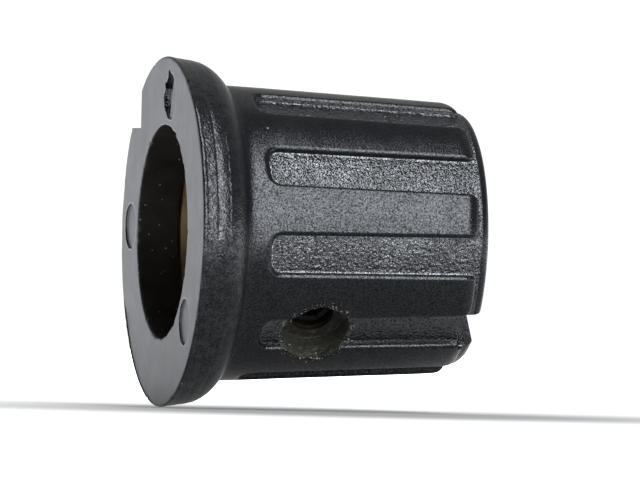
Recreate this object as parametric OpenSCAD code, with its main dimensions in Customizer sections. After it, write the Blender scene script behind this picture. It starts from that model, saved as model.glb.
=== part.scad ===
// Fuse-carrier cap of a panel-mounted cartridge fuse holder.
// Millimetres. The cap's axis is +X. The origin is the centre of the flange's
// flat front face, the mouth opens towards -X and the fluted grip runs to +X.

/* [Flange] */
// Flange diameter
flange_d = 23; // [22:0.5:26]
// Straight part of the flange rim
rim_w = 1.05; // [1.0:0.05:1.4]
// Radius of the flange's rounded back
back_r = 2.75; // [2.6:0.05:2.9]

/* [Grip] */
// Overall length of the cap
cap_len = 20.1; // [20.1:0.1:22]
// Land diameter projected to the front face
land_d = 19.84; // [19.8:0.02:20.2]
// Draft of the grip, radius lost per millimetre
draft = 0.0537; // [0.04:0.0005:0.06]
// Number of flutes
flutes = 10; // [8:1:10]
// Flute width
flute_w = 2.6; // [2.2:0.1:2.8]
// Flute depth
flute_t = 0.56; // [0.4:0.02:0.6]
// Where the flutes begin, from the front face
flute_s = 4.95; // [4.8:0.05:5.4]
// Corner radius of the flutes' closed ends
flute_c = 0.7; // [0.4:0.1:1.0]

/* [Mouth] */
// Diameter of the mouth recess
mouth_d = 14; // [13.6:0.1:14.2]
// Depth of the mouth recess
mouth_t = 2.7; // [2.4:0.1:3]

/* [Bush] */
// Outside diameter of the brass bush
bush_d = 14.4; // [14.3:0.1:14.6]
// Minor diameter of the neck thread, M12 x 0.75
thread_d = 11.2; // [11.2:0.1:11.3]
// Length of the neck thread
thread_l = 3.9; // [3.5:0.1:4.0]
// Bore that seats the contact sleeve
seat_d = 10.6; // [10.6:0.1:10.7]

/* [Side hole] */
// Distance of the side hole from the front face
hole_s = 8.93; // [8.9:0.01:9.1]
// Angle of the side hole below the horizontal
hole_a = 44; // [44:1:44]
// Access hole diameter
access_d = 4.5; // [4:0.1:4.6]
// Radial depth of the access hole's floor from the axis
access_f = 7.32; // [7.3:0.01:7.4]
// Tapped hole diameter, between the M3 thread's pitch and major diameters
tap_d = 2.8; // [2.7:0.05:2.9]

/* [End slot] */
// Screwdriver slot width
slot_w = 2.9; // [2.4:0.1:3.1]
// Screwdriver slot depth
slot_t = 1.2; // [1:0.1:1.4]

/* [Contact] */
// Wire diameter of the contact spring
wire_d = 0.7; // [0.6:0.05:0.7]
// Turns of the contact spring
turns = 5.5; // [5:0.5:6]

/* [Hidden] */
$fn = 96;
cavity_end = 17.0;               // inner end of the bush pocket
shoulder = mouth_t + thread_l;   // end of the neck thread
sleeve_od = seat_d - 0.1;        // 0.05 running clearance in the bush
sleeve_id = seat_d - 0.9;
sleeve_s = 7.6;                  // front of the contact sleeve
lip_t = 0.3;
lip_d = 8.4;
plug_s = 16.4;
flange_s = 7.92;                 // front of the plunger's flange
flange_t = 0.98;
nose_s = 7.0;                    // front of the plunger's nose
coil_r = 4.0;                    // mean radius of the spring
coil_s0 = flange_s + flange_t + 0.01;
coil_s1 = plug_s - 0.01;
land_r0 = land_d / 2;
flange_r = flange_d / 2;

function land(s) = land_r0 - draft * s;
function flo(s) = land(s) - flute_t;
// azimuth about the axis: 0 is -Y, 90 is +Z; turned into the local angle
function th(phi) = -90 - phi;

// Local Z is the cap's axis; this lays it along +X with -X local as +Z.
module lay() rotate([0, 90, 0]) children();

// Outline of the outside at land level, [radius, distance from the face].
outer = concat(
    [[0, 0], [flange_r - 0.12, 0], [flange_r, 0.12]],
    [for (a = [90:-6:24]) [8.6 + (flange_r - 11.5) + back_r * sin(a), rim_w + back_r * cos(a)]],
    [[land(3.85) + 0.02, 3.85], [land(4.1), 4.1]],
    [for (a = [90:-10:0]) [flo(19.3) + 0.1 + (land(18.4) - flo(19.3) - 0.1) * sin(a), 18.4 + 0.9 * cos(a)]],
    [for (a = [75:-15:0]) [7.5 + (flo(19.3) - 7.5) * sin(a), 19.3 + (cap_len - 19.3) * cos(a)]],
    [[0, cap_len]]);

// Space outside the flute floors, with the sloped closed ends.
module flute_space()
    rotate_extrude() polygon([
        [land(flute_s) + flute_t, flute_s - 0.4], [flo(flute_s + 0.4), flute_s + 0.4],
        [flo(cap_len + 1), cap_len + 1], [12.5, cap_len + 1], [12.5, flute_s - 0.4]]);

// Plan outline of a flute, x along the cap and y across, with round closed
// corners and flared open ones.
module flute_outline() {
    w = flute_w / 2;
    s = flute_s + 0.1;
    polygon(concat(
        [for (a = [180:-15:90]) [s + flute_c + flute_c * cos(a), w - flute_c + flute_c * sin(a)]],
        [for (a = [0:15:90]) [18.7 + 0.6 * sin(a), w + 0.6 - 0.6 * cos(a)]],
        [[cap_len + 1, w + 0.6], [cap_len + 1, -w - 0.6]],
        [for (a = [90:-15:0]) [18.7 + 0.6 * sin(a), -w - 0.6 + 0.6 * cos(a)]],
        [for (a = [-90:-15:-180]) [s + flute_c + flute_c * cos(a), -w + flute_c + flute_c * sin(a)]]));
}

// One flute, cut radially at azimuth phi.
module flute(phi)
    intersection() {
        flute_space();
        rotate([0, 0, th(phi)]) translate([6, 0, 0]) rotate([0, 90, 0])
            rotate([0, 0, 180]) linear_extrude(7) flute_outline();
    }

// Outside of the bush, with its keying groove.
module bush_envelope()
    rotate_extrude() polygon([
        [0, mouth_t], [bush_d / 2, mouth_t], [bush_d / 2, 12.4], [bush_d / 2 - 0.4, 12.8],
        [bush_d / 2 - 0.4, 14.4], [bush_d / 2, 14.8], [bush_d / 2, cavity_end], [0, cavity_end]]);

// A straight hole on the grub screw's line, from radial distance r0 to r1.
module side_drill(d, r0, r1)
    rotate([0, 0, th(-hole_a)]) translate([r0, 0, hole_s]) rotate([0, 90, 0])
        cylinder(d = d, h = r1 - r0);

module ejector_mark(phi)
    rotate([0, 0, th(phi)]) translate([8.95, 0, -1]) cylinder(d = 3, h = 1.15);

// Square-cornered index notch in the flange rim.
module index_notch()
    translate([-20 - 6.8, 6.67, -1]) cube([20, 20, 2.2]);

module fluted_body()
    difference() {
        rotate_extrude() polygon(outer);
        for (i = [0:flutes - 1]) flute(-hole_a + i * 360 / flutes);
    }

module cap_shell()
    color([0.06, 0.06, 0.065]) lay() difference() {
        fluted_body();
        translate([0, 0, -1]) cylinder(d = mouth_d, h = mouth_t + 2);
        bush_envelope();
        side_drill(access_d, access_f, 14);
        side_drill(tap_d, 5, 14);
        for (p = [80.5, -41, 178]) ejector_mark(p);
        index_notch();
        rotate([0, 0, th(-46.8)]) translate([-14, -slot_w / 2, cap_len - slot_t])
            cube([28, slot_w, 5]);
    }

module threaded_bush()
    color([0.72, 0.53, 0.25]) lay() difference() {
        bush_envelope();
        translate([0, 0, mouth_t - 1]) cylinder(d = thread_d, h = thread_l + 1);
        translate([0, 0, 1]) cylinder(d = seat_d, h = cavity_end);
        side_drill(tap_d, 2, 14);
    }

// Dog-point set screw, 2 mm long, with a hexagon socket.
module grub_screw()
    color([0.12, 0.12, 0.13]) lay() difference() {
        union() {
            side_drill(tap_d - 0.08, 5.6, 6.9);
            side_drill(1.7, 4.9, 5.7);
        }
        rotate([0, 0, th(-hole_a)]) translate([6.1, 0, hole_s]) rotate([0, 90, 0])
            cylinder(d = 1.73, h = 2, $fn = 6);
    }

module contact_sleeve()
    color([0.78, 0.78, 0.75]) lay() difference() {
        translate([0, 0, sleeve_s]) cylinder(d = sleeve_od, h = cavity_end - sleeve_s);
        translate([0, 0, sleeve_s + lip_t]) cylinder(d = sleeve_id, h = 20);
        translate([0, 0, sleeve_s - 1]) cylinder(d = lip_d, h = 3);
        side_drill(2.0, 4, 8);
    }

module contact_plunger()
    color([0.8, 0.8, 0.76]) lay() difference() {
        rotate_extrude() polygon([
            [0, nose_s], [3.6, nose_s], [4.1, nose_s + 0.5], [4.1, flange_s], [sleeve_id / 2 - 0.05, flange_s],
            [sleeve_id / 2 - 0.05, flange_s + flange_t], [3.4, flange_s + flange_t], [3.4, flange_s + 2.1],
            [3.1, flange_s + 2.4], [0, flange_s + 2.4]]);
        translate([0, 0, nose_s - 1]) cylinder(d = 2, h = 9);
    }

module contact_tip()
    color([0.88, 0.88, 0.87]) lay() rotate_extrude() polygon([
        [0, nose_s - 0.3], [1.7, nose_s - 0.3], [2.1, nose_s - 0.15], [2.1, nose_s], [1, nose_s], [1, flange_s + 2.3], [0, flange_s + 2.3]]);

// Round wire swept along a helix whose end turns lie closed, 0.02 clear of the
// next turn.
module coil(r, d, s0, s1, n) {
    sides = 10;
    per = 24;
    m = floor(n * per);
    e = d + 0.02;
    lift = [for (i = [0:m]) let (t = i / per)
        t < 1 ? e * t : t > n - 1 ? (s1 - s0 - d) - e * (n - t)
            : e + (s1 - s0 - d - 2 * e) * (t - 1) / (n - 2)];
    pts = [for (i = [0:m]) for (j = [0:sides - 1]) let (a = i * 360 / per, b = j * 360 / sides)
        [(r + d / 2 * cos(b)) * cos(a), (r + d / 2 * cos(b)) * sin(a), s0 + d / 2 + lift[i] + d / 2 * sin(b)]];
    sidef = [for (i = [0:m - 1]) for (j = [0:sides - 1]) let (k = (j + 1) % sides)
        [i * sides + j, i * sides + k, (i + 1) * sides + k, (i + 1) * sides + j]];
    polyhedron(points = pts, convexity = 8, faces = concat(sidef,
        [[for (j = [sides - 1:-1:0]) j]], [[for (j = [0:sides - 1]) m * sides + j]]));
}

module contact_spring()
    color([0.7, 0.7, 0.72]) lay() coil(coil_r, wire_d, coil_s0, coil_s1, turns);

module sleeve_plug()
    color([0.72, 0.53, 0.25]) lay() rotate_extrude() polygon([
        [0, 14.9], [3.1, 14.9], [3.4, 15.2], [3.4, plug_s], [sleeve_id / 2, plug_s],
        [sleeve_id / 2, cavity_end], [0, cavity_end]]);

cap_shell();
threaded_bush();
grub_screw();
contact_sleeve();
contact_plunger();
contact_tip();
contact_spring();
sleeve_plug();
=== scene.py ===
import math

import bpy
import numpy as np
from mathutils import Matrix, Vector


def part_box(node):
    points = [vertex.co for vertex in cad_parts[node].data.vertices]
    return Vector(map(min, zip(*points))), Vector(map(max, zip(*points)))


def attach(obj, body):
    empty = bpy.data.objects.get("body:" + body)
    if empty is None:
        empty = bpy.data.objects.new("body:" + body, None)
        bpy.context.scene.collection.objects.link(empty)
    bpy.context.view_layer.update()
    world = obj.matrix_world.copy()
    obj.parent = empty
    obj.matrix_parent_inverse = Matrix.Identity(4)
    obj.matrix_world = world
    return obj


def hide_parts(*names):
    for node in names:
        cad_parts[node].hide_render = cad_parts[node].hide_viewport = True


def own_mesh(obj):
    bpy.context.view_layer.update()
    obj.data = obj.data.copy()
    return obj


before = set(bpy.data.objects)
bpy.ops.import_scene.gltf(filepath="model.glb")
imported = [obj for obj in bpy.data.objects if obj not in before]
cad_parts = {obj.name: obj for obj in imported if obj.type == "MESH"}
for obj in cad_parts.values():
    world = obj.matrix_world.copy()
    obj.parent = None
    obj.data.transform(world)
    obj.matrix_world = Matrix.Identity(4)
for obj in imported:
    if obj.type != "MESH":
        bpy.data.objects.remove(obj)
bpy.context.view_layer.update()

MM = 0.001
RNG = np.random.default_rng(11)

# ---------------------------------------------------------------- dimensions, mm
LAND0, DRAFT, FLUTE_T, FLUTE_W, FLUTES = 9.92, 0.0537, 0.56, 2.6, 10
HOLE_S, HOLE_A = 8.93, 44.0
ACCESS_R, ACCESS_F, TAP_R = 2.25, 7.32, 1.40
LENGTH = 20.1
POCKET_END = 17.0
MOUTH_R, MOUTH_T = 7.0, 2.7
BUSH_R, THREAD_R, THREAD_END, SEAT_R = 7.2, 5.6, 6.6, 5.3
EDGE_R, ROOT_R, WALL_A = 0.27, 0.13, 88.5  # land edge fillet, flute root fillet, wall angle


def land(s):
    return LAND0 - DRAFT * s


def flo(s):
    return land(s) - FLUTE_T


def around(phi):
    """Unit vector across the axis at azimuth phi in degrees: 0 is -Y, 90 is +Z."""
    a = math.radians(phi)
    return np.array([0.0, -math.cos(a), math.sin(a)])


def to_frame(s, r, phi):
    """Points in mm from arrays of distance along the axis, radius and azimuth in radians."""
    return np.stack([s, -r * np.cos(phi), r * np.sin(phi)], -1)


# ---------------------------------------------------------------- small noise helpers
def hash3(ix, iy, iz, seed):
    h = (ix * 374761393 + iy * 668265263 + iz * 2147483647 + seed * 1274126177) & 0xFFFFFFFF
    h = ((h ^ (h >> 13)) * 1274126177) & 0xFFFFFFFF
    return ((h ^ (h >> 16)) & 0xFFFF) / 65535.0


def value_noise(p, scale, seed=0):
    """Smooth noise in -1..1 at points p (n, 3), with features of the given size."""
    q = np.asarray(p, float) / scale
    i = np.floor(q).astype(np.int64)
    f = q - i
    f = f * f * (3 - 2 * f)
    out = 0.0
    for dx in (0, 1):
        for dy in (0, 1):
            for dz in (0, 1):
                w = (f[..., 0] if dx else 1 - f[..., 0]) * (f[..., 1] if dy else 1 - f[..., 1]) * (f[..., 2] if dz else 1 - f[..., 2])
                out = out + w * hash3(i[..., 0] + dx, i[..., 1] + dy, i[..., 2] + dz, seed)
    return out * 2 - 1


def wall_height(d):
    """Share of the flute depth left at distance d into the wall: land fillet, steep wall, root fillet."""
    a = math.radians(WALL_A)
    w1 = EDGE_R * math.sin(a)
    d1 = EDGE_R * (1 - math.cos(a))
    d2 = ROOT_R * (1 - math.cos(a))
    wh = FLUTE_T - d1 - d2
    ws = wh / math.tan(a)
    w2 = ROOT_R * math.sin(a)
    x = np.asarray(d, float)
    drop = np.where(x <= 0, 0.0, EDGE_R - np.sqrt(np.maximum(EDGE_R ** 2 - np.clip(x, 0, w1) ** 2, 0)))
    drop = np.where(x > w1, d1 + np.clip(x - w1, 0, ws) * math.tan(a), drop)
    y = np.clip(w1 + ws + w2 - x, 0, w2)
    drop = np.where(x > w1 + ws, FLUTE_T - (ROOT_R - np.sqrt(np.maximum(ROOT_R ** 2 - y ** 2, 0))), drop)
    return 1 - np.clip(drop / FLUTE_T, 0, 1), w1, w1 + ws + w2


def smooth(x):
    x = np.clip(x, 0, 1)
    return x * x * (3 - 2 * x)


# ---------------------------------------------------------------- mesh helpers
def make_object(name, verts_mm, faces):
    me = bpy.data.meshes.new(name)
    v = np.asarray(verts_mm, float) * MM
    if isinstance(faces, np.ndarray) and faces.shape[1] == 4:
        me.vertices.add(len(v))
        me.vertices.foreach_set("co", v.ravel())
        me.loops.add(faces.size)
        me.loops.foreach_set("vertex_index", faces.ravel().astype(np.int32))
        me.polygons.add(len(faces))
        me.polygons.foreach_set("loop_start", np.arange(0, faces.size, 4, dtype=np.int32))
        me.update(calc_edges=True)
    else:
        me.from_pydata([tuple(x) for x in v], [], [tuple(int(i) for i in f) for f in faces])
    me.validate()
    me.update()
    o = bpy.data.objects.new(name, me)
    bpy.context.collection.objects.link(o)
    return o


def lathe(name, rings, n=192, radius_fn=None, phase=0.0):
    """Closed body of revolution about +X from a profile [(s, r)], whose first and last points may lie on the axis."""
    prof = np.array(rings, float)
    caps = [prof[0, 1] < 1e-6, prof[-1, 1] < 1e-6]
    body = prof[(1 if caps[0] else 0): (len(prof) - 1 if caps[1] else len(prof))]
    phi = np.arange(n) * 2 * math.pi / n + phase
    S, P = np.meshgrid(body[:, 0], phi, indexing="ij")
    R = np.repeat(body[:, 1][:, None], n, 1)
    if radius_fn is not None:
        S, R = radius_fn(S, R, P)
    verts = to_frame(S, R, P).reshape(-1, 3)
    m = len(body)
    faces = grid_faces(m, n, wrap_rows=not caps[0] and not caps[1])
    extra = []
    base = m * n
    tail = []
    if caps[0]:
        tail.append([prof[0, 0], 0, 0])
        c = base + len(tail) - 1
        extra += [(c, (j + 1) % n, j) for j in range(n)]
    if caps[1]:
        tail.append([prof[-1, 0], 0, 0])
        c = base + len(tail) - 1
        o = (m - 1) * n
        extra += [(c, o + j, o + (j + 1) % n) for j in range(n)]
    if tail:
        verts = np.concatenate([verts, np.array(tail)])
        ob = make_object(name, verts, [tuple(f) for f in faces] + extra)
    else:
        ob = make_object(name, verts, faces)
    recalc(ob)
    return ob


def grid_faces(m, n, wrap_rows=False):
    rows = m if wrap_rows else m - 1
    i = np.arange(rows)[:, None]
    j = np.arange(n)[None, :]
    a = i * n + j
    b = i * n + (j + 1) % n
    c = ((i + 1) % m) * n + (j + 1) % n
    d = ((i + 1) % m) * n + j
    return np.stack(np.broadcast_arrays(a, b, c, d), -1).reshape(-1, 4)


def recalc(ob):
    import bmesh
    bm = bmesh.new()
    bm.from_mesh(ob.data)
    bmesh.ops.recalc_face_normals(bm, faces=bm.faces)
    if bm.calc_volume(signed=True) < 0:
        bmesh.ops.reverse_faces(bm, faces=bm.faces)
    bm.to_mesh(ob.data)
    bm.free()


def cut(target, cutters, op="DIFFERENCE"):
    """Applies booleans to the target's mesh and removes the cutters."""
    for c in cutters:
        m = target.modifiers.new("cut", "BOOLEAN")
        m.operation = op
        m.object = c
        m.solver = "MANIFOLD"
    bpy.context.view_layer.update()
    dg = bpy.context.evaluated_depsgraph_get()
    me = bpy.data.meshes.new_from_object(target.evaluated_get(dg))
    target.modifiers.clear()
    me.materials.clear()
    old = target.data
    target.data = me
    bpy.data.meshes.remove(old)
    for c in cutters:
        d = c.data
        bpy.data.objects.remove(c)
        bpy.data.meshes.remove(d)


def shade(ob, angle=32):
    me = ob.data
    me.polygons.foreach_set("use_smooth", np.ones(len(me.polygons), bool))
    me.set_sharp_from_angle(angle=math.radians(angle))
    me.update()


def radial_prism(name, phi, s, profile, n=96, wobble=None):
    """Closed body of revolution about the radial line at azimuth phi and distance s: profile is [(radial distance, radius)]."""
    u = around(phi)
    e1 = np.array([1.0, 0, 0])
    e2 = np.cross(u, e1)
    rows = []
    for h, r in profile:
        b = np.arange(n) * 2 * math.pi / n
        rr = r + (wobble(b, h) if wobble else 0)
        rows.append(np.array([s, 0, 0]) + u * h + (np.cos(b) * rr)[:, None] * e1 + (np.sin(b) * rr)[:, None] * e2)
    v = np.concatenate(rows)
    m = len(profile)
    faces = [tuple(f) for f in grid_faces(m, n)]
    faces.append(tuple(range(n - 1, -1, -1)))
    faces.append(tuple((m - 1) * n + j for j in range(n)))
    ob = make_object(name, v, faces)
    recalc(ob)
    return ob


def block(name, corner, sides):
    """Closed box from a corner and three side vectors, mm."""
    c = np.array(corner, float)
    a, b, d = (np.array(x, float) for x in sides)
    v = [c, c + a, c + a + b, c + b, c + d, c + a + d, c + a + b + d, c + b + d]
    f = [(0, 3, 2, 1), (4, 5, 6, 7), (0, 1, 5, 4), (1, 2, 6, 5), (2, 3, 7, 6), (3, 0, 4, 7)]
    ob = make_object(name, v, f)
    recalc(ob)
    return ob


# ---------------------------------------------------------------- materials
def new_mat(name):
    m = bpy.data.materials.new(name)
    m.use_nodes = True
    nt = m.node_tree
    bsdf = next(n for n in nt.nodes if n.type == "BSDF_PRINCIPLED")
    return m, nt, bsdf


def node(nt, kind, **kw):
    n = nt.nodes.new(kind)
    for k, v in kw.items():
        if k in n.inputs:
            n.inputs[k].default_value = v
        else:
            setattr(n, k, v)
    return n


def ramp(nt, stops, src):
    r = nt.nodes.new("ShaderNodeValToRGB")
    el = r.color_ramp.elements
    while len(el) > 1:
        el.remove(el[-1])
    el[0].position, el[0].color = stops[0][0], stops[0][1]
    for p, c in stops[1:]:
        e = el.new(p)
        e.color = c
    nt.links.new(src, r.inputs["Fac"])
    return r


def grey(v, a=1.0):
    return (v, v, v, a)


def noise(nt, coord, size_mm, detail=2.0, rough=0.5):
    n = node(nt, "ShaderNodeTexNoise")
    n.inputs["Scale"].default_value = 1.0 / (size_mm * MM)
    n.inputs["Detail"].default_value = detail
    n.inputs["Roughness"].default_value = rough
    nt.links.new(coord, n.inputs["Vector"])
    return n


def maths(nt, op, a, b=None, clamp=False):
    n = nt.nodes.new("ShaderNodeMath")
    n.operation = op
    n.use_clamp = clamp
    for i, x in enumerate((a, b)):
        if x is None:
            continue
        if isinstance(x, (int, float)):
            n.inputs[i].default_value = x
        else:
            nt.links.new(x, n.inputs[i])
    return n.outputs[0]


def bump(nt, height, dist_mm, strength=1.0, prev=None):
    b = nt.nodes.new("ShaderNodeBump")
    b.inputs["Strength"].default_value = strength
    b.inputs["Distance"].default_value = dist_mm * MM
    nt.links.new(height, b.inputs["Height"])
    if prev is not None:
        nt.links.new(prev, b.inputs["Normal"])
    return b.outputs["Normal"]


def mat_phenolic():
    """Black moulded phenolic: fine spark-eroded grain, semi-gloss; the flute floors are coarser and pitted."""
    m, nt, b = new_mat("phenolic_grain")
    tc = nt.nodes.new("ShaderNodeTexCoord").outputs["Object"]
    sp = nt.nodes.new("ShaderNodeSeparateXYZ")
    nt.links.new(tc, sp.inputs[0])
    x, y, z = sp.outputs
    r = maths(nt, "SQRT", maths(nt, "ADD", maths(nt, "MULTIPLY", y, y), maths(nt, "MULTIPLY", z, z)))
    top = maths(nt, "SUBTRACT", LAND0 * MM, maths(nt, "MULTIPLY", x, DRAFT))
    deep = maths(nt, "DIVIDE", maths(nt, "SUBTRACT", top, r), FLUTE_T * MM)
    fl = ramp(nt, [(0.80, grey(0)), (0.97, grey(1))], deep)  # 1 on the flute floors
    flute = fl.outputs["Color"]
    rim = ramp(nt, [(0.0, grey(0)), (0.35, grey(1))], maths(nt, "DIVIDE", maths(nt, "SUBTRACT", r, top), 1.4 * MM))
    body = maths(nt, "LESS_THAN", x, 19.50 * MM)
    flute = maths(nt, "MULTIPLY", flute, body)
    coarse_zone = maths(nt, "MAXIMUM", flute, maths(nt, "MULTIPLY", rim.outputs["Color"], 0.16))
    fine = noise(nt, tc, 0.115, 2.0, 0.55)
    coarse = noise(nt, tc, 0.20, 1.5, 0.5)
    big = noise(nt, tc, 4.0, 2.0, 0.5)
    patch = noise(nt, tc, 1.5, 3.0, 0.6)
    vor = node(nt, "ShaderNodeTexVoronoi")
    vor.inputs["Scale"].default_value = 1.0 / (0.25 * MM)
    nt.links.new(tc, vor.inputs["Vector"])
    # a few pale dust specks
    dust = node(nt, "ShaderNodeTexVoronoi")
    dust.inputs["Scale"].default_value = 1.0 / (3.0 * MM)
    nt.links.new(tc, dust.inputs["Vector"])
    spot = ramp(nt, [(0.0, grey(0.9)), (0.016, grey(0.8)), (0.026, grey(0.0))], dust.outputs["Distance"])
    bc = nt.nodes.new("ShaderNodeMix")
    bc.data_type = "RGBA"
    nt.links.new(spot.outputs["Color"], bc.inputs["Factor"])
    bc.inputs[6].default_value = (0.0066, 0.0070, 0.0082, 1)
    bc.inputs[7].default_value = (0.42, 0.42, 0.40, 1)
    nt.links.new(bc.outputs[2], b.inputs["Base Color"])
    b.inputs["Specular Tint"].default_value = (0.90, 0.945, 1.0, 1)
    rr = ramp(nt, [(0.3, grey(0.16)), (0.7, grey(0.24))], big.outputs["Fac"])
    nt.links.new(rr.outputs["Color"], b.inputs["Roughness"])
    b.inputs["IOR"].default_value = 1.42
    # reflectivity: fine mottling everywhere, dark pits in the flutes, and a painted highlight along the flute root
    # fillets
    mott = ramp(nt, [(0.36, grey(0.30)), (0.64, grey(1.65))], fine.outputs["Fac"])
    mottc = ramp(nt, [(0.36, grey(1.7)), (0.64, grey(4.2))], fine.outputs["Fac"])
    pit = ramp(nt, [(0.18, grey(0.05)), (0.31, grey(1.0))], vor.outputs["Distance"])
    pitted = maths(nt, "MULTIPLY", mottc.outputs["Color"], pit.outputs["Color"])
    mx = nt.nodes.new("ShaderNodeMix")
    mx.data_type = "FLOAT"
    nt.links.new(coarse_zone, mx.inputs["Factor"])
    nt.links.new(mott.outputs["Color"], mx.inputs[2])
    nt.links.new(pitted, mx.inputs[3])
    soft = ramp(nt, [(0.3, grey(0.88)), (0.7, grey(1.12))], patch.outputs["Fac"])
    blot = noise(nt, tc, 0.50, 2.0, 0.5)
    blob = ramp(nt, [(0.40, grey(0.0)), (0.62, grey(1.5))], blot.outputs["Fac"])
    # painted highlight: the specular level is raised in a band along each flute's root fillet (lip, glint), so a bright
    # line shows there
    lip = ramp(nt, [(0.76, grey(0.0)), (0.84, grey(1.0)), (0.96, grey(1.0)), (1.0, grey(0.0))], deep)
    glint = maths(nt, "ADD", 1.0, maths(nt, "MULTIPLY", lip.outputs["Color"], 1.2))
    blobs = maths(nt, "ADD", 1.0, maths(nt, "MULTIPLY", maths(nt, "MULTIPLY", maths(nt, "SUBTRACT", blob.outputs["Color"], 0.6), 0.45), rim.outputs["Color"]))
    nt.links.new(maths(nt, "MULTIPLY", maths(nt, "MULTIPLY", mx.outputs[0], soft.outputs["Color"]), maths(nt, "MULTIPLY", maths(nt, "MULTIPLY", blobs, glint), 0.5)), b.inputs["Specular IOR Level"])
    # relief
    low = maths(nt, "ADD", maths(nt, "MULTIPLY", fine.outputs["Fac"], 0.40), maths(nt, "MULTIPLY", coarse.outputs["Fac"], 0.20))
    high = maths(nt, "ADD", maths(nt, "MULTIPLY", fine.outputs["Fac"], 0.85), maths(nt, "MULTIPLY", coarse.outputs["Fac"], 3.4))
    mh = nt.nodes.new("ShaderNodeMix")
    mh.data_type = "FLOAT"
    nt.links.new(coarse_zone, mh.inputs["Factor"])
    nt.links.new(low, mh.inputs[2])
    nt.links.new(high, mh.inputs[3])
    n2 = bump(nt, mh.outputs[0], 0.040, 1.0)
    nt.links.new(n2, b.inputs["Normal"])
    return m


def mat_sanded():
    """The flange's face, rubbed flat: greyer, fine scratches."""
    m, nt, b = new_mat("phenolic_sanded")
    tc = nt.nodes.new("ShaderNodeTexCoord").outputs["Object"]
    mp = nt.nodes.new("ShaderNodeMapping")
    mp.inputs["Scale"].default_value = (1.0, 9.0, 0.35)
    mp.inputs["Rotation"].default_value = (math.radians(4), 0, 0)
    nt.links.new(tc, mp.inputs["Vector"])
    scratch = noise(nt, mp.outputs["Vector"], 0.9, 6.0, 0.72)
    fine = noise(nt, tc, 0.12, 3.0, 0.6)
    blot = noise(nt, tc, 2.2, 3.0, 0.55)
    mix = maths(nt, "ADD", maths(nt, "MULTIPLY", scratch.outputs["Fac"], 0.6), maths(nt, "MULTIPLY", blot.outputs["Fac"], 0.4))
    col = ramp(nt, [(0.35, (0.040, 0.048, 0.062, 1)), (0.5, (0.074, 0.086, 0.108, 1)), (0.68, (0.128, 0.143, 0.174, 1))], mix)
    nt.links.new(col.outputs["Color"], b.inputs["Base Color"])
    # pale burr round the three ejector marks
    tint = col.outputs["Color"]
    for p in (80.5, -41.0, 178.0):
        u = around(p) * 8.95 * MM
        off = nt.nodes.new("ShaderNodeVectorMath")
        off.operation = "SUBTRACT"
        nt.links.new(tc, off.inputs[0])
        off.inputs[1].default_value = tuple(u)
        ln = nt.nodes.new("ShaderNodeVectorMath")
        ln.operation = "LENGTH"
        nt.links.new(off.outputs["Vector"], ln.inputs[0])
        q = maths(nt, "DIVIDE", maths(nt, "ADD", ln.outputs["Value"], maths(nt, "MULTIPLY", maths(nt, "SUBTRACT", blot.outputs["Fac"], 0.5), 0.10 * MM)), 3.0 * MM)
        ring = ramp(nt, [(0.490, grey(0)), (0.512, grey(0.75)), (0.530, grey(0.35)), (0.560, grey(0))], q)
        mx = nt.nodes.new("ShaderNodeMix")
        mx.data_type = "RGBA"
        nt.links.new(ring.outputs["Color"], mx.inputs["Factor"])
        nt.links.new(tint, mx.inputs[6])
        mx.inputs[7].default_value = (0.30, 0.33, 0.38, 1)
        tint = mx.outputs[2]
    nt.links.new(tint, b.inputs["Base Color"])
    rr = ramp(nt, [(0.3, grey(0.36)), (0.7, grey(0.54))], scratch.outputs["Fac"])
    nt.links.new(rr.outputs["Color"], b.inputs["Roughness"])
    n1 = bump(nt, scratch.outputs["Fac"], 0.010)
    n2 = bump(nt, fine.outputs["Fac"], 0.008, 1.0, n1)
    nt.links.new(n2, b.inputs["Normal"])
    return m


def mat_smooth_black():
    """Moulded wall of the mouth and pocket: smoother black with dust specks."""
    m, nt, b = new_mat("phenolic_smooth")
    tc = nt.nodes.new("ShaderNodeTexCoord").outputs["Object"]
    big = noise(nt, tc, 1.6, 3.0, 0.6)
    vor = node(nt, "ShaderNodeTexVoronoi")
    vor.inputs["Scale"].default_value = 1.0 / (0.55 * MM)
    nt.links.new(tc, vor.inputs["Vector"])
    speck = ramp(nt, [(0.0, grey(1)), (0.085, grey(1)), (0.11, grey(0))], vor.outputs["Distance"])
    base = ramp(nt, [(0.3, (0.010, 0.0095, 0.008, 1)), (0.7, (0.021, 0.019, 0.015, 1))], big.outputs["Fac"])
    mx = nt.nodes.new("ShaderNodeMix")
    mx.data_type = "RGBA"
    nt.links.new(speck.outputs["Color"], mx.inputs["Factor"])
    nt.links.new(base.outputs["Color"], mx.inputs[6])
    mx.inputs[7].default_value = (0.34, 0.33, 0.27, 1)
    nt.links.new(mx.outputs[2], b.inputs["Base Color"])
    rr = ramp(nt, [(0.3, grey(0.30)), (0.7, grey(0.48))], big.outputs["Fac"])
    nt.links.new(rr.outputs["Color"], b.inputs["Roughness"])
    nt.links.new(bump(nt, noise(nt, tc, 0.3, 3.0).outputs["Fac"], 0.008), b.inputs["Normal"])
    return m


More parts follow.
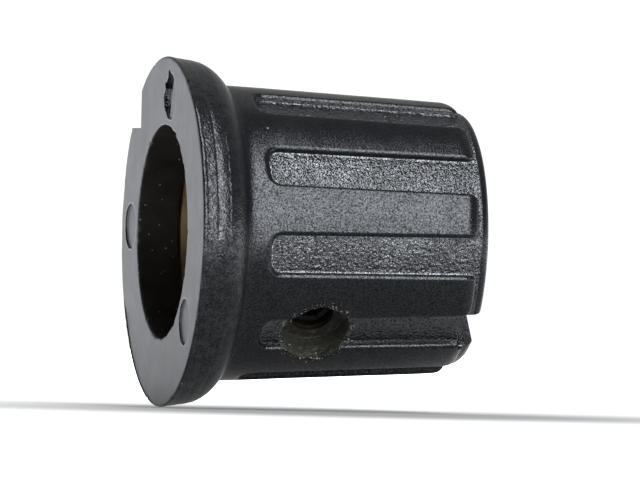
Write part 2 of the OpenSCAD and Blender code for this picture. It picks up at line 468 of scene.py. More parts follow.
def mat_drilled():
    """Cut phenolic inside the drilled hole: dull olive-grey filler with drill rings."""
    m, nt, b = new_mat("phenolic_drilled")
    tc = nt.nodes.new("ShaderNodeTexCoord").outputs["Object"]
    u = around(-HOLE_A)
    dot = nt.nodes.new("ShaderNodeVectorMath")
    dot.operation = "DOT_PRODUCT"
    nt.links.new(tc, dot.inputs[0])
    dot.inputs[1].default_value = tuple(u)
    warp = noise(nt, tc, 0.8, 2.0)
    h = maths(nt, "ADD", maths(nt, "MULTIPLY", dot.outputs["Value"], 1.0 / (0.16 * MM)), maths(nt, "MULTIPLY", warp.outputs["Fac"], 2.2))
    rings = maths(nt, "SINE", maths(nt, "MULTIPLY", h, 2 * math.pi))
    grain = noise(nt, tc, 0.16, 4.0, 0.7)
    mix = maths(nt, "ADD", maths(nt, "MULTIPLY", rings, 0.10), grain.outputs["Fac"])
    col = ramp(nt, [(0.30, (0.009, 0.0085, 0.006, 1)), (0.5, (0.030, 0.029, 0.021, 1)), (0.76, (0.115, 0.112, 0.088, 1))], mix)
    nt.links.new(col.outputs["Color"], b.inputs["Base Color"])
    b.inputs["Roughness"].default_value = 0.62
    n1 = bump(nt, rings, 0.012)
    n2 = bump(nt, grain.outputs["Fac"], 0.05, 1.0, n1)
    nt.links.new(n2, b.inputs["Normal"])
    return m


def mat_metal(name, dark, light, rough, streak_mm=0.05, tarnish=None, tint=None):
    """Turned metal: fine rings along the axis, tarnish blotches."""
    m, nt, b = new_mat(name)
    tc = nt.nodes.new("ShaderNodeTexCoord").outputs["Object"]
    mp = nt.nodes.new("ShaderNodeMapping")
    mp.inputs["Scale"].default_value = (1.0, 0.04, 0.04)
    nt.links.new(tc, mp.inputs["Vector"])
    rings = noise(nt, mp.outputs["Vector"], streak_mm, 3.0, 0.6)
    blot = noise(nt, tc, 1.3, 4.0, 0.6)
    col = ramp(nt, [(0.3, (*dark, 1)), (0.65, (*light, 1))], blot.outputs["Fac"])
    if tarnish:
        spot = noise(nt, tc, 0.5, 4.0, 0.65)
        f = ramp(nt, [(0.56, grey(0)), (0.72, grey(0.8))], spot.outputs["Fac"])
        mx = nt.nodes.new("ShaderNodeMix")
        mx.data_type = "RGBA"
        nt.links.new(f.outputs["Color"], mx.inputs["Factor"])
        nt.links.new(col.outputs["Color"], mx.inputs[6])
        mx.inputs[7].default_value = (*tarnish, 1)
        nt.links.new(mx.outputs[2], b.inputs["Base Color"])
    else:
        nt.links.new(col.outputs["Color"], b.inputs["Base Color"])
    b.inputs["Metallic"].default_value = 1.0
    if tint:
        b.inputs["Specular Tint"].default_value = (*tint, 1)
    rr = ramp(nt, [(0.3, grey(rough * 0.8)), (0.7, grey(rough * 1.3))], blot.outputs["Fac"])
    nt.links.new(rr.outputs["Color"], b.inputs["Roughness"])
    nt.links.new(bump(nt, rings.outputs["Fac"], 0.006), b.inputs["Normal"])
    return m


def mat_oxide():
    m, nt, b = new_mat("black_oxide")
    tc = nt.nodes.new("ShaderNodeTexCoord").outputs["Object"]
    g = noise(nt, tc, 0.1, 4.0, 0.6)
    col = ramp(nt, [(0.3, (0.018, 0.018, 0.02, 1)), (0.7, (0.05, 0.05, 0.052, 1))], g.outputs["Fac"])
    nt.links.new(col.outputs["Color"], b.inputs["Base Color"])
    b.inputs["Metallic"].default_value = 0.8
    b.inputs["Roughness"].default_value = 0.42
    nt.links.new(bump(nt, g.outputs["Fac"], 0.006), b.inputs["Normal"])
    return m


def mat_crumb():
    m, nt, b = new_mat("phenolic_dust")
    tc = nt.nodes.new("ShaderNodeTexCoord").outputs["Object"]
    g = noise(nt, tc, 0.2, 3.0)
    col = ramp(nt, [(0.3, (0.10, 0.097, 0.08, 1)), (0.7, (0.42, 0.40, 0.34, 1))], g.outputs["Fac"])
    nt.links.new(col.outputs["Color"], b.inputs["Base Color"])
    b.inputs["Roughness"].default_value = 0.8
    return m


# ---------------------------------------------------------------- the moulded cap
def shell_profile():
    """Closed outline of the cap, from the pocket's end on the axis round the mouth and the outside to the slotted end on the axis.
    Returns rows (s, r_land, r_floor, flutes?)."""
    rows = []

    def add(s, r, f=None):
        rows.append((s, r, r if f is None else f))

    def line(a, b, step):
        n = max(1, int(math.hypot(b[0] - a[0], b[1] - a[1]) / step))
        for k in range(n):
            t = k / n
            add(a[0] + (b[0] - a[0]) * t, a[1] + (b[1] - a[1]) * t)

    add(POCKET_END, 0.0)
    line((POCKET_END, 2.0), (POCKET_END, BUSH_R), 1.2)
    line((POCKET_END, BUSH_R), (14.8, BUSH_R), 0.8)
    line((14.8, BUSH_R), (14.4, BUSH_R - 0.4), 0.3)
    line((14.4, BUSH_R - 0.4), (12.8, BUSH_R - 0.4), 0.8)
    line((12.8, BUSH_R - 0.4), (12.4, BUSH_R), 0.3)
    line((12.4, BUSH_R), (MOUTH_T, BUSH_R), 1.0)
    add(MOUTH_T, BUSH_R)
    add(MOUTH_T, MOUTH_R)
    line((MOUTH_T - 0.02, MOUTH_R), (0.12, MOUTH_R), 0.12)
    for a in (0, 30, 60):
        add(0.10 - 0.10 * math.sin(math.radians(a)), MOUTH_R + 0.10 - 0.10 * math.cos(math.radians(a)))
    line((0.0, MOUTH_R + 0.10), (0.0, 11.36), 0.085)
    for a in range(0, 90, 18):
        add(0.14 - 0.14 * math.cos(math.radians(a)), 11.36 + 0.14 * math.sin(math.radians(a)))
    line((0.14, 11.5), (1.05, 11.38), 0.07)
    for a in np.arange(90, 26, -1.5):
        add(1.05 + 2.75 * math.cos(math.radians(a)), 8.6 + 2.75 * math.sin(math.radians(a)))
    # concave fillet into the grip
    p0 = (1.05 + 2.75 * math.cos(math.radians(26)), 8.6 + 2.75 * math.sin(math.radians(26)))
    p1 = (3.70, land(3.70) + 0.0)
    p2 = (4.15, land(4.15))
    for t in np.linspace(0, 1, 12, endpoint=False):
        s = (1 - t) ** 2 * p0[0] + 2 * t * (1 - t) * p1[0] + t * t * p2[0]
        r = (1 - t) ** 2 * p0[1] + 2 * t * (1 - t) * p1[1] + t * t * p2[1]
        add(s, r)
    for s in np.concatenate([np.arange(4.15, 4.8, 0.08), np.arange(4.8, 6.3, 0.03), np.arange(6.3, 18.0, 0.15)]):
        add(s, land(s), flo(s))
    # land ends: convex slope from 18.2 to 19.3
    e0, e1 = 18.35, 19.32
    for s in np.arange(18.0, 19.36, 0.03):
        t = min(max((s - e0) / (e1 - e0), 0), 1)
        drop = 1 - math.sqrt(max(0.0, 1 - t ** 2.3))
        add(s, land(s) - (land(s) - flo(s)) * drop, flo(s))
    b0 = flo(19.45)
    for a in np.arange(3, 90, 4.0):
        x = math.radians(a)
        add(19.45 + (LENGTH - 19.45) * math.sin(x), 7.70 + (b0 - 7.70) * math.cos(x))
    line((LENGTH, 7.65), (LENGTH, 0.8), 0.6)
    add(LENGTH, 0.0)
    return np.array(rows)


def pitch_lines():
    """Positions across one half pitch: (kind, value). Kind 0: mm from the flute's centre, kind 1: share of the land's half."""
    half = FLUTE_W / 2
    out = [(0, x) for x in np.linspace(0, half - 0.18, 10)]
    out += [(0, x) for x in np.linspace(half - 0.18, half + 0.30, 32)[1:]]
    out += [(1, x) for x in np.linspace(0, 1, 14)[1:]]
    return out


def build_shell():
    rows = shell_profile()
    s_all, r_top, r_bot = rows[:, 0], rows[:, 1], rows[:, 2]
    half = FLUTE_W / 2
    lines = pitch_lines()
    signed = [(-1, k, v) for k, v in lines[::-1]][1:] + [(1, k, v) for k, v in lines[1:]]
    # one pitch runs from -18 degrees (dropped) to +18 degrees
    mid = len(lines) - 2
    signed.insert(mid, (1, 0, 0.0))
    body = slice(1, len(rows) - 1)
    S = s_all[body]
    ref = np.clip(land(np.clip(S, 4.4, 19.2)), 1, 20)
    cols = []
    tees = []
    for i in range(FLUTES):
        c = math.radians(-HOLE_A + 36 * i)
        for sg, kind, v in signed:
            if kind == 0:
                a = v / ref
            else:
                a0 = (half + 0.30) / ref
                a = a0 + (math.radians(18) - a0) * v
            cols.append(c + sg * a)
            tees.append(a)
    PHI = np.stack(cols, 1)
    A = np.stack(tees, 1)
    n = PHI.shape[1]
    SS = np.repeat(S[:, None], n, 1)
    RT = np.repeat(r_top[body][:, None], n, 1)
    RB = np.repeat(r_bot[body][:, None], n, 1)
    T = A * ref[:, None]  # mm across from the flute's centre
    # closed left end of the flute: rounded rectangle
    c = 0.92
    s0 = 4.95
    qx = T - (half - c)
    qy = (s0 + c) - SS
    outside = np.sqrt(np.maximum(qx, 0) ** 2 + np.maximum(qy, 0) ** 2)
    sd = -(outside + np.minimum(np.maximum(qx, qy), 0) - c)
    nyw = np.maximum(qy, 0) ** 2 / (np.maximum(qx, 0) ** 2 + np.maximum(qy, 0) ** 2 + 1e-9)
    _, w1, wall_w = wall_height(0.0)
    stretch = 1 + 0.75 * nyw
    M1 = wall_height((sd + w1) / stretch)[0]
    # open right end: the land's rounded corners
    x = T - half
    y = 19.34 - SS
    cc = 0.62
    inner = np.where((x < cc) & (y < cc), cc - np.sqrt((cc - np.minimum(x, cc)) ** 2 + (cc - np.minimum(y, cc)) ** 2), np.minimum(x, y))
    M2 = wall_height(w1 - inner)[0]
    M = np.where(SS < 12, M1, M2)
    R = RB + (RT - RB) * M
    # moulded unevenness, finer than a tenth of a millimetre
    P0 = to_frame(SS, R, PHI)
    outer = (SS > 0.3) & (R > 7.3)
    wav = value_noise(P0, 2.3, 3) * 0.012 + value_noise(P0, 0.8, 5) * 0.006
    R = R + np.where(outer, wav, 0) - np.where(outer & (R > 11.2), 0.02, 0)
    # worn and slightly chipped front edges
    edge = np.exp(-(((SS - 0.0) / 0.25) ** 2)) * np.exp(-(((R - 11.45) / 0.16) ** 2))
    chip = np.clip(value_noise(P0, 0.55, 9) - 0.15, 0, 1)
    R = R - edge * chip * 0.07
    SS = SS + edge * chip * 0.03
    medge = np.exp(-(((SS) / 0.2) ** 2)) * np.exp(-(((R - 7.05) / 0.12) ** 2))
    mchip = np.clip(value_noise(P0, 0.4, 19) - 0.1, 0, 1)
    R = R + medge * mchip * 0.10
    SS = SS + medge * mchip * 0.04
    # shallow step on the face, outside a wavy line at the lower far side
    face = (SS < 0.02) & (R > 7.2)
    U, V = R * np.cos(PHI), R * np.sin(PHI)
    line = np.array([(-8.2, -4.2), (-6.1, -6.0), (-4.75, -7.8), (-2.9, -9.2), (-1.9, -10.1), (-1.55, -11.4)])
    best = np.full(U.shape, 1e9)
    side = np.zeros(U.shape)
    for k in range(len(line) - 1):
        a, b = line[k], line[k + 1]
        d = b - a
        t = np.clip(((U - a[0]) * d[0] + (V - a[1]) * d[1]) / (d @ d), 0, 1)
        px, py = U - (a[0] + t * d[0]), V - (a[1] + t * d[1])
        dist = np.hypot(px, py)
        better = dist < best
        best = np.where(better, dist, best)
        side = np.where(better, d[0] * py - d[1] * px, side)
    sgn = np.where(side < 0, best, -best)
    lower = smooth((-3.6 - V) / 2.2) * smooth((0.2 - U) / 0.8)
    SS = SS + np.where(face, smooth(sgn / 0.20 + 0.5) * 0.10 * lower, 0)
    # faint flatness errors of the rubbed face
    SS = SS + np.where(face, np.clip(value_noise(P0, 3.0, 21), 0, 1) * 0.012, 0)

    verts = to_frame(SS, R, PHI).reshape(-1, 3)
    m = SS.shape[0]
    faces = grid_faces(m, n)
    tail = np.array([[s_all[0], 0, 0], [s_all[-1], 0, 0]])
    verts = np.concatenate([verts, tail])
    base = m * n
    o = (m - 1) * n
    j = np.arange(n)
    tris = [(base, (k + 1) % n, k) for k in j] + [(base + 1, o + k, o + (k + 1) % n) for k in j]
    me = bpy.data.meshes.new("cap_moulding")
    nf = len(faces)
    loops = np.concatenate([faces.ravel(), np.array(tris).ravel()]).astype(np.int32)
    starts = np.concatenate([np.arange(nf) * 4, nf * 4 + np.arange(len(tris)) * 3]).astype(np.int32)
    me.vertices.add(len(verts))
    me.vertices.foreach_set("co", (verts * MM).ravel())
    me.loops.add(len(loops))
    me.loops.foreach_set("vertex_index", loops)
    me.polygons.add(len(starts))
    me.polygons.foreach_set("loop_start", starts)
    me.update(calc_edges=True)
    me.validate()
    ob = bpy.data.objects.new("cap_moulding", me)
    bpy.context.collection.objects.link(ob)
    recalc(ob)

    # drilled access hole with a slightly uneven wall, and the tapped hole's way through the moulding
    def uneven(b, h):
        p = np.stack([np.cos(b) * 2.2, np.sin(b) * 2.2, np.full_like(b, h)], -1)
        return value_noise(p, 0.7, 31) * 0.03 + value_noise(p, 0.25, 33) * 0.015
    hs = [ACCESS_F] + list(np.arange(ACCESS_F + 0.08, 9.6, 0.10)) + [11.0]
    prof = [(ACCESS_F - 0.0, ACCESS_R - 0.06)] + [(h, ACCESS_R) for h in hs[1:]]
    access = radial_prism("access", -HOLE_A, HOLE_S, prof, 144, uneven)
    tap = radial_prism("tap", -HOLE_A, HOLE_S, [(5.0, TAP_R), (ACCESS_F - 0.06, TAP_R), (ACCESS_F + 0.02, TAP_R + 0.08), (ACCESS_F + 0.3, TAP_R + 0.08)], 96)
    # ejector marks, index notch and driver slot
    marks = []
    for k, p in enumerate((80.5, -41.0, 178.0)):
        u = around(p) * 8.95
        nn = 72
        b = np.arange(nn) * 2 * math.pi / nn
        ring = []
        for s, rr in ((-0.5, 1.52), (0.0, 1.50), (0.10, 1.47), (0.15, 1.40)):
            w = rr + (value_noise(np.stack([np.cos(b) * 1.5, np.sin(b) * 1.5, b * 0 + k * 9], -1), 0.45, 41) * (0.05 if s < 0.1 else 0.015))
            if k == 0:
                torn = np.clip(value_noise(np.stack([np.cos(b) * 1.5, np.sin(b) * 1.5, b * 0], -1), 0.26, 47) + 0.25, 0, 1)
                side = smooth(np.cos(b - 0.35) * 1.6 - 0.1)
                w = w + torn * 0.34 * side * (1 if s < 0.12 else 0.7)
            x = np.full(nn, s) * (1 + (1.3 * side if k == 0 and s > 0.05 else 0))
            ring.append(np.stack([x, u[1] + w * np.cos(b), u[2] + w * np.sin(b)], -1))
        v = np.concatenate(ring + [np.array([[0.13, u[1], u[2]]])])
        f = [tuple(q) for q in grid_faces(4, nn)]
        f.append(tuple(range(nn - 1, -1, -1)))
        f += [(len(v) - 1, 3 * nn + q, 3 * nn + (q + 1) % nn) for q in range(nn)]
        mk = make_object("mark", v, f)
        recalc(mk)
        marks.append(mk)
    notch = block("notch", (-1, 6.67, 6.8), ((2.2, 0, 0), (0, 9, 0), (0, 0, 9)))
    u = around(-46.8)
    w = np.cross(np.array([1.0, 0, 0]), u)
    # driver slot with a small broken edge
    x0 = LENGTH - 1.2
    sect = [(x0, -1.36), (x0 + 0.09, -1.45), (LENGTH - 0.16, -1.45), (LENGTH + 0.5, -2.05), (LENGTH + 3, -2.05),
            (LENGTH + 3, 2.05), (LENGTH + 0.5, 2.05), (LENGTH - 0.16, 1.45), (x0 + 0.09, 1.45), (x0, 1.36)]
    v = np.array([np.array([x, 0, 0]) + w * t + u * e for e in (-14, 14) for x, t in sect])
    k = len(sect)
    f = [tuple(range(k - 1, -1, -1)), tuple(range(k, 2 * k))] + [(i, (i + 1) % k, k + (i + 1) % k, k + i) for i in range(k)]
    slot = make_object("slot", v, f)
    recalc(slot)
    cut(ob, [access, tap] + marks + [notch, slot])
    return ob


def chip_hole(ob):
    """Breaks the drilled hole's rim into small chips."""
    me = ob.data
    co = np.empty(len(me.vertices) * 3)
    me.vertices.foreach_get("co", co)
    p = co.reshape(-1, 3) / MM
    u = around(-HOLE_A)
    q = p - np.array([HOLE_S, 0, 0])
    h = q @ u
    side = q - h[:, None] * u
    rho = np.linalg.norm(side, axis=1)
    rad = np.hypot(p[:, 1], p[:, 2])
    depth = flo(p[:, 0]) - rad  # below the flute floor
    near = (h > 6.5) & (rho < 3.2)
    w = np.exp(-(((rho - ACCESS_R) / 0.22) ** 2)) * np.exp(-((np.maximum(depth, 0) / 0.18) ** 2)) * near
    d = side / np.maximum(rho, 1e-6)[:, None]
    n1 = np.clip(value_noise(p, 0.38, 51) + 0.1, 0, 1)
    n2 = value_noise(p, 0.22, 53)
    p2 = p + (d * (n1 * 0.17 + n2 * 0.05)[:, None] - u * (n1 * 0.16)[:, None]) * w[:, None]
    me.vertices.foreach_set("co", (p2 * MM).ravel())
    me.update()


def zone_materials(ob, mats):
    """Gives each face of the cap its finish by where it lies."""
    me = ob.data
    for m in mats:
        me.materials.append(m)
    nf = len(me.polygons)
    c = np.empty(nf * 3)
    nm = np.empty(nf * 3)
    me.polygons.foreach_get("center", c)
    me.polygons.foreach_get("normal", nm)
    c = c.reshape(-1, 3) / MM
    nm = nm.reshape(-1, 3)
    r = np.hypot(c[:, 1], c[:, 2])
    idx = np.zeros(nf, np.int32)
    face = (c[:, 0] < 0.22) & (nm[:, 0] < -0.8) & (r > 7.05)
    idx[face] = 1
    inner = (r < 7.16) & (c[:, 0] < 3.0) & (c[:, 0] > 0.05)
    inner |= (r < 7.4) & (c[:, 0] >= 2.6) & (c[:, 0] < 17.2) & ((nm[:, 1] * c[:, 1] + nm[:, 2] * c[:, 2]) < 0)
    idx[inner] = 2
    u = around(-HOLE_A)
    q = c - np.array([HOLE_S, 0, 0])
    h = q @ u
    side = q - h[:, None] * u
    rho = np.linalg.norm(side, axis=1)
    toward = -(nm * side).sum(1) / np.maximum(rho, 1e-6)
    drilled = (h > 6.9) & (rho < ACCESS_R + 0.26) & ((toward > 0.40) | (rad_depth(c) > 0.08))
    idx[drilled] = 3
    idx[(h < ACCESS_F + 0.25) & (h > 6.9) & (rho < TAP_R + 0.15) & (rho > TAP_R + 0.04)] = 4
    me.polygons.foreach_set("material_index", idx)
    me.update()


def rad_depth(c):
    return flo(c[:, 0]) - np.hypot(c[:, 1], c[:, 2])


# ---------------------------------------------------------------- metal pieces
def build_bush(mat):
    step = 0.04
    inner = [(s, THREAD_R) for s in np.arange(MOUTH_T + 0.0, THREAD_END, step)]
    prof = inner + [(THREAD_END, THREAD_R), (THREAD_END, SEAT_R + 0.05), (THREAD_END + 0.05, SEAT_R)]
    prof += [(s, SEAT_R) for s in np.arange(THREAD_END + 0.5, POCKET_END, 1.0)]
    prof += [(POCKET_END, SEAT_R), (POCKET_END, BUSH_R), (14.8, BUSH_R), (14.4, BUSH_R - 0.4), (12.8, BUSH_R - 0.4), (12.4, BUSH_R)]
    prof += [(s, BUSH_R) for s in np.arange(12.0, MOUTH_T, -0.8)] + [(MOUTH_T, BUSH_R), (MOUTH_T, THREAD_R + 0.55)]

    def thread(S, R, P):
        t = (S - MOUTH_T) / 0.75 + P / (2 * math.pi)
        f = np.abs((t % 1.0) - 0.5) * 2  # 0 at the groove's root, 1 at the crest
        groove = np.clip(1.12 - f * 1.35, 0, 1)
        inside = (np.abs(R - THREAD_R) < 1e-6)
        fade = np.clip((THREAD_END - 0.15 - S) / 0.5, 0, 1)
        lead = np.clip(1 - (S - MOUTH_T) / 0.35, 0, 1)
        R2 = R + inside * np.maximum(groove * 0.38 * fade, lead * 0.42)
        return S, R2
    ob = lathe("brass_bush", prof, 256, thread)
    tap = radial_prism("tap", -HOLE_A, HOLE_S, [(2.0, TAP_R), (7.0, TAP_R), (7.25, TAP_R + 0.06), (8.0, TAP_R + 0.06)], 96)
    cut(ob, [tap])
    # the thin raised lip that tapping leaves round the side hole
    burr = []
    nn, mm = 96, 10
    u = around(-HOLE_A)
    e1 = np.array([1.0, 0, 0])
    e2 = np.cross(u, e1)
    for i in range(mm):
        a = i * 2 * math.pi / mm
        b = np.arange(nn) * 2 * math.pi / nn
        wob = value_noise(np.stack([np.cos(b), np.sin(b), b * 0], -1), 0.5, 61) * 0.015
        rr = TAP_R + 0.045 + 0.045 * math.cos(a)
        hh = 7.27 + 0.16 * math.sin(a) + wob
        burr.append(np.array([HOLE_S, 0, 0]) + u * hh[:, None] + (np.cos(b) * rr)[:, None] * e1 + (np.sin(b) * rr)[:, None] * e2)
    lip = make_object("tap_lip", np.concatenate(burr), grid_faces(mm, nn, wrap_rows=True))
    recalc(lip)
    for o in (ob, lip):
        o.data.materials.append(mat)
        shade(o, 40)
        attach(o, "cap")
    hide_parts("threaded_bush")
    return ob


def build_grub(mat):
    R0 = TAP_R - 0.05
    prof = [(4.9, 0.0), (4.9, 0.72), (5.0, 0.85), (5.55, 0.85), (5.62, 1.08)]
    hs = np.arange(5.70, 6.78, 0.025)
    prof += [(h, R0) for h in hs] + [(6.80, R0 - 0.06), (6.9, R0 - 0.22), (6.9, 0.0)]
    u = around(-HOLE_A)
    e1 = np.array([1.0, 0, 0])
    e2 = np.cross(u, e1)
    n = 96
    b = np.arange(n) * 2 * math.pi / n
    rows = []
    for h, r in prof[1:-1]:
        rr = np.full(n, r)
        if abs(r - R0) < 1e-9:
            t = (h / 0.5 - b / (2 * math.pi)) % 1.0
            f = np.abs(t - 0.5) * 2
            rr = r - 0.24 * np.clip(1.1 - f * 1.3, 0, 1) * min(1, (h - 5.62) / 0.15)
        rows.append(np.array([HOLE_S, 0, 0]) + u * h + (np.cos(b) * rr)[:, None] * e1 + (np.sin(b) * rr)[:, None] * e2)
    m = len(rows)
    v = np.concatenate(rows + [np.array([[HOLE_S, 0, 0] + u * 4.9]), np.array([[HOLE_S, 0, 0] + u * 6.9])])
    f = [tuple(q) for q in grid_faces(m, n)]
    f += [(m * n, (k + 1) % n, k) for k in range(n)] + [(m * n + 1, (m - 1) * n + k, (m - 1) * n + (k + 1) % n) for k in range(n)]
    ob = make_object("set_screw", v, f)
    recalc(ob)
    hexa = radial_prism("hex", -HOLE_A, HOLE_S, [(5.85, 0.05), (6.1, 0.866), (6.84, 0.866), (7.0, 0.98)], 6)
    cut(ob, [hexa])
    ob.data.materials.append(mat)
    shade(ob, 30)
    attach(ob, "lock_screw")
    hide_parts("grub_screw")
    return ob


def finish_piece(ob, mat, body, replaced, angle=32):
    ob.data.materials.append(mat)
    shade(ob, angle)
    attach(ob, body)
    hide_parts(replaced)
    return ob


def arc(cs, cr, rad, a0, a1, n=6):
    return [(cs + rad * math.cos(math.radians(a)), cr + rad * math.sin(math.radians(a))) for a in np.linspace(a0, a1, n)]


def build_sleeve(mat):
    o, i, lip = 5.25, 4.85, 4.2
    prof = [(17.0, i), (9.9, i), (8.2, i), (7.9, i), (7.9, lip + 0.08)] + arc(7.75, lip + 0.12, 0.12, -30, -150, 5)
    prof += [(7.6, lip + 0.25), (7.6, o - 0.35)] + arc(7.9, o - 0.3, 0.3, 170, 95, 6)
    prof += [(8.3, o), (9.9, o), (12.0, o), (12.12, o - 0.05), (12.3, o - 0.05), (12.42, o), (16.4, o), (17.0, o)]
    ob = lathe("plated_sleeve", prof, 160)
    hole = radial_prism("hole", -HOLE_A, HOLE_S, [(4.3, 1.0), (8.0, 1.0)], 64)
    cut(ob, [hole])
    return finish_piece(ob, mat, "cap", "contact_sleeve")


def build_plunger(mat):
    prof = [(10.32, 0.95), (10.32, 3.1), (10.02, 3.4), (8.9, 3.4), (8.9, 4.70), (8.84, 4.8), (7.98, 4.8), (7.92, 4.74), (7.92, 4.1)]
    prof += [(7.62, 4.08), (7.56, 4.0), (7.48, 4.0), (7.42, 4.08)] + arc(7.45, 3.65, 0.45, 90, 178, 9)
    prof += [(7.0, 3.0), (7.04, 2.95), (7.04, 2.7), (7.0, 2.65), (7.0, 2.15), (7.0, 0.95)]
    ob = lathe("nose_plunger", prof, 160)
    return finish_piece(ob, mat, "plunger", "contact_plunger")


def build_tip(mat):
    prof = [(10.22, 0.0), (10.22, 0.95), (10.18, 1.0), (7.0, 1.0), (7.0, 2.1), (6.88, 2.1)]
    prof += [(6.88 - 0.16 * math.cos(math.radians(a)) ** 0.8, 2.1 * math.sin(math.radians(a))) for a in np.arange(82, 5, -8)]
    prof += [(6.70, 0.0)]
    ob = lathe("silver_tip", prof, 96)
    return finish_piece(ob, mat, "plunger", "contact_tip", 40)


def build_plug(mat):
    prof = [(17.0, 0.0), (17.0, 4.78), (16.93, 4.85), (16.46, 4.85), (16.4, 4.79), (16.4, 3.45), (16.36, 3.4), (15.2, 3.4), (14.9, 3.1), (14.9, 0.4), (15.1, 0.0)]
    ob = lathe("spring_plug", prof, 128)
    return finish_piece(ob, mat, "cap", "sleeve_plug")


def build_spring(mat):
    low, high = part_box("contact_spring")
    s0, s1 = low[0] / MM, high[0] / MM
    r, d, turns, per, sides = 4.0, 0.7, 5.5, 44, 14
    m = int(turns * per)
    rows = []
    for i in range(m + 1):
        t = i / per
        span = s1 - s0
        if t < 1:
            lift = (d + 0.02) * t
        elif t > turns - 1:
            lift = (span - d) - (d + 0.02) * (turns - t)
        else:
            k = (t - 1) / (turns - 2)
            lift = (d + 0.02) + (span - d - 2 * (d + 0.02)) * k
        a = 2 * math.pi * t
        b = np.arange(sides) * 2 * math.pi / sides
        rr = (r + d / 2 * np.cos(b))
        x = s0 + d / 2 + lift + d / 2 * np.sin(b)
        # ground flat ends
        x = np.clip(x, s0 + 0.0, s1 - 0.0)
        # local angle a in the design is -90 - azimuth
        phi = -math.pi / 2 - a
        rows.append(np.stack([x, -rr * math.cos(phi), rr * math.sin(phi)], -1))
    n = sides
    v = np.concatenate(rows)
    f = [tuple(q) for q in grid_faces(m + 1, n)] + [tuple(range(n - 1, -1, -1)), tuple(m * n + k for k in range(n))]
    ob = make_object("wire_spring", v, f)
    recalc(ob)
    finish_piece(ob, mat, "cap", "contact_spring", 50)
    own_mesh(ob)
    return ob


def build_crumbs(mat):
    """Dust and burrs left by the drill, as small solid crumbs sunk into the rim."""
    import bmesh
    bm = bmesh.new()
    u = around(-HOLE_A)
    e1 = np.array([1.0, 0, 0])
    e2 = np.cross(u, e1)
    rng = np.random.default_rng(5)
    for i in range(170):
        b = rng.uniform(0, 2 * math.pi)
        rr = ACCESS_R + 0.04 + abs(rng.normal(0, 0.20)) * (1 if rng.uniform() < 0.8 else -0.5)
        t = rr * math.sin(b)
        s = HOLE_S + rr * math.cos(b)
        rad = flo(s) if abs(t) < FLUTE_W / 2 - 0.15 else land(s)
        h = math.sqrt(max(rad * rad - t * t, 1.0))
        if rr < ACCESS_R:
            h -= rng.uniform(0.1, 0.6)
        p = np.array([HOLE_S, 0, 0]) + u * h + e1 * rr * math.cos(b) + e2 * t
        size = rng.uniform(0.014, 0.036) * (2.0 if rng.uniform() < 0.14 else 1)
        geo = bmesh.ops.create_icosphere(bm, subdivisions=2, radius=1.0)
        sc = np.array([rng.uniform(0.6, 1.4) for _ in range(3)]) * size
        for vv in geo["verts"]:
            q = np.array(vv.co)
            q = q * (1 + 0.25 * value_noise(q[None] + i * 7.3, 0.8, 71)[0]) * sc
            vv.co = Vector((p + q) * MM)
    me = bpy.data.meshes.new("drill_dust")
    bm.to_mesh(me)
    bm.free()
    ob = bpy.data.objects.new("drill_dust", me)
    bpy.context.collection.objects.link(ob)
    me.materials.append(mat)
    shade(ob, 60)
    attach(ob, "cap")
    return ob


# ---------------------------------------------------------------- build everything
M_PHEN, M_SAND, M_SMOOTH, M_DRILL = mat_phenolic(), mat_sanded(), mat_smooth_black(), mat_drilled()
# brass_turned is far darker than clean brass: partly tarnish, partly painted shade for the ledge deep inside the mouth
M_BRASS = mat_metal("brass_turned", (0.046, 0.035, 0.020), (0.098, 0.072, 0.038), 0.40, 0.05, (0.035, 0.026, 0.016), tint=(0.35, 0.30, 0.24))
M_PLATE = mat_metal("tin_plate", (0.22, 0.215, 0.205), (0.36, 0.355, 0.34), 0.30, 0.06, (0.20, 0.19, 0.17), tint=(0.6, 0.6, 0.58))
M_SILVER = mat_metal("silver_contact", (0.40, 0.39, 0.375), (0.54, 0.53, 0.51), 0.24, 0.04, (0.34, 0.32, 0.28), tint=(0.8, 0.8, 0.78))
M_WIRE = mat_metal("spring_wire", (0.42, 0.42, 0.43), (0.60, 0.60, 0.61), 0.30, 0.09)
M_OXIDE, M_DUST = mat_oxide(), mat_crumb()

shell = build_shell()
chip_hole(shell)
shade(shell, 34)
zone_materials(shell, [M_PHEN, M_SAND, M_SMOOTH, M_DRILL, M_DUST])
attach(shell, "cap")
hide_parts("cap_shell")

build_bush(M_BRASS)
build_grub(M_OXIDE)
build_sleeve(M_PLATE)
build_plunger(M_PLATE)
build_tip(M_SILVER)
build_plug(M_BRASS)
build_spring(M_WIRE)
build_crumbs(M_DUST)

# ---------------------------------------------------------------- floor, light and camera
FLOOR_Z = -0.0115


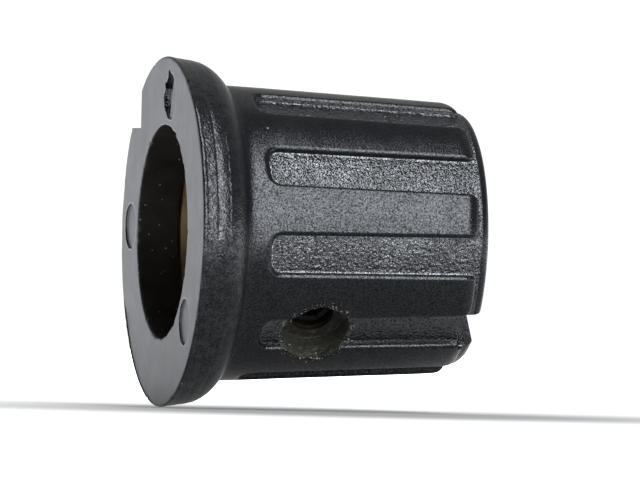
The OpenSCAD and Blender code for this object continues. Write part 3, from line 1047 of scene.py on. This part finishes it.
def mat_floor():
    """Pale paper with painted light: the floor glows, faintly next to the object as a painted contact shadow and
    brighter away from it, a little less behind it.
    """
    m, nt, b = new_mat("floor_paper")
    tc = nt.nodes.new("ShaderNodeTexCoord").outputs["Object"]
    g = noise(nt, tc, 30.0, 2.0)
    col = ramp(nt, [(0.3, grey(0.40)), (0.7, grey(0.42))], g.outputs["Fac"])
    nt.links.new(col.outputs["Color"], b.inputs["Base Color"])
    b.inputs["Roughness"].default_value = 0.8
    b.inputs["Emission Color"].default_value = (1, 1, 1, 1)
    sub = nt.nodes.new("ShaderNodeVectorMath")
    sub.operation = "SUBTRACT"
    nt.links.new(tc, sub.inputs[0])
    sub.inputs[1].default_value = (0.010, -0.016, 0)
    ln = nt.nodes.new("ShaderNodeVectorMath")
    ln.operation = "LENGTH"
    nt.links.new(sub.outputs["Vector"], ln.inputs[0])
    # painted light: emission strength by distance from the object, low near it (painted contact shadow) and high far
    # out (painted glow)
    glow_and_painted_shadow = ramp(nt, [(0.013, grey(0.04)), (0.024, grey(0.35)), (0.038, grey(0.70)), (0.075, grey(1.4)), (0.17, grey(2.6)), (0.40, grey(3.0))], ln.outputs["Value"])
    sp = nt.nodes.new("ShaderNodeSeparateXYZ")
    nt.links.new(tc, sp.inputs[0])
    front = nt.nodes.new("ShaderNodeMapRange")
    nt.links.new(sp.outputs["Y"], front.inputs["Value"])
    front.inputs["From Min"].default_value = -0.03
    front.inputs["From Max"].default_value = 0.02
    front.inputs["To Min"].default_value = 1.0
    front.inputs["To Max"].default_value = 0.9
    nt.links.new(maths(nt, "MULTIPLY", glow_and_painted_shadow.outputs["Color"], front.outputs["Result"]), b.inputs["Emission Strength"])
    return m


bpy.ops.mesh.primitive_circle_add(vertices=96, radius=0.6, fill_type="NGON", location=(0, 0, FLOOR_Z - 0.00002))
floor = bpy.context.object
floor.name = "studio_floor"
floor.data.materials.append(mat_floor())

world = bpy.data.worlds.new("studio")
bpy.context.scene.world = world
world.use_nodes = True
wt = world.node_tree
bg = wt.nodes["Background"]
tcw = wt.nodes.new("ShaderNodeTexCoord")
sep = wt.nodes.new("ShaderNodeSeparateXYZ")
wt.links.new(tcw.outputs["Generated"], sep.inputs[0])
# bright all round the horizon, dim overhead; brighter behind the object (+Y) than in front
up = ramp(wt, [(0.0, grey(1.05)), (0.05, grey(1.0)), (0.17, grey(0.42)), (0.34, grey(0.26)), (0.80, grey(0.28)), (0.93, grey(0.13)), (1.0, grey(0.04))], sep.outputs["Z"])
mr = wt.nodes.new("ShaderNodeMapRange")
wt.links.new(sep.outputs["Y"], mr.inputs["Value"])
mr.inputs["From Min"].default_value = -0.75
mr.inputs["From Max"].default_value = 0.35
mr.inputs["To Min"].default_value = 0.14
mr.inputs["To Max"].default_value = 1.05
mul = maths(wt, "MULTIPLY", up.outputs["Color"], mr.outputs["Result"])
wt.links.new(mul, bg.inputs["Strength"])
bg.inputs["Color"].default_value = (1.0, 1.0, 1.0, 1)


def area(name, az, el, dist, size, power, color=(1, 1, 1), target=(0.010, 0, 0)):
    """Softbox at azimuth az from -Y towards +X, elevation el, aimed at the object."""
    a, e = math.radians(az), math.radians(el)
    d = Vector((math.sin(a) * math.cos(e), -math.cos(a) * math.cos(e), math.sin(e)))
    l = bpy.data.lights.new(name, "AREA")
    l.shape = "RECTANGLE"
    l.size, l.size_y = size
    l.energy = power
    l.color = color
    o = bpy.data.objects.new(name, l)
    bpy.context.collection.objects.link(o)
    o.location = Vector(target) + d * dist
    o.rotation_euler = d.to_track_quat("Z", "Y").to_euler()
    return o


area("key_softbox", 21, 34, 0.60, (0.21, 1.44), 8.4, (0.97, 0.98, 1.0))
area("rim_softbox", -172, 63, 0.60, (0.40, 0.075), 0.10, (0.85, 0.91, 1.0))

cam = bpy.data.cameras.new("camera")
cam_ob = bpy.data.objects.new("camera", cam)
bpy.context.collection.objects.link(cam_ob)
AZ, ROLL, WIDTH = math.radians(-14.03), math.radians(1.35), 0.04206
cam.sensor_width = 36
cam.lens = 1000
cam.clip_start, cam.clip_end = 0.05, 20
back = Vector((math.sin(AZ), -math.cos(AZ), 0))
right0 = Vector((0, 0, 1)).cross(back)
up0 = Vector((0, 0, 1))
right = right0 * math.cos(ROLL) + up0 * math.sin(ROLL)
upv = up0 * math.cos(ROLL) - right0 * math.sin(ROLL)
aim = Vector((0.01068, 0, 0)) - upv * 0.00031
loc = aim + back * (cam.lens / cam.sensor_width * WIDTH)
rot = Matrix((right, upv, back)).transposed()
cam_ob.matrix_world = Matrix.Translation(loc) @ rot.to_4x4()
sc = bpy.context.scene
sc.camera = cam_ob
sc.view_settings.view_transform = "Standard"
sc.view_settings.look = "None"
sc.view_settings.exposure = 0
sc.view_settings.gamma = 1
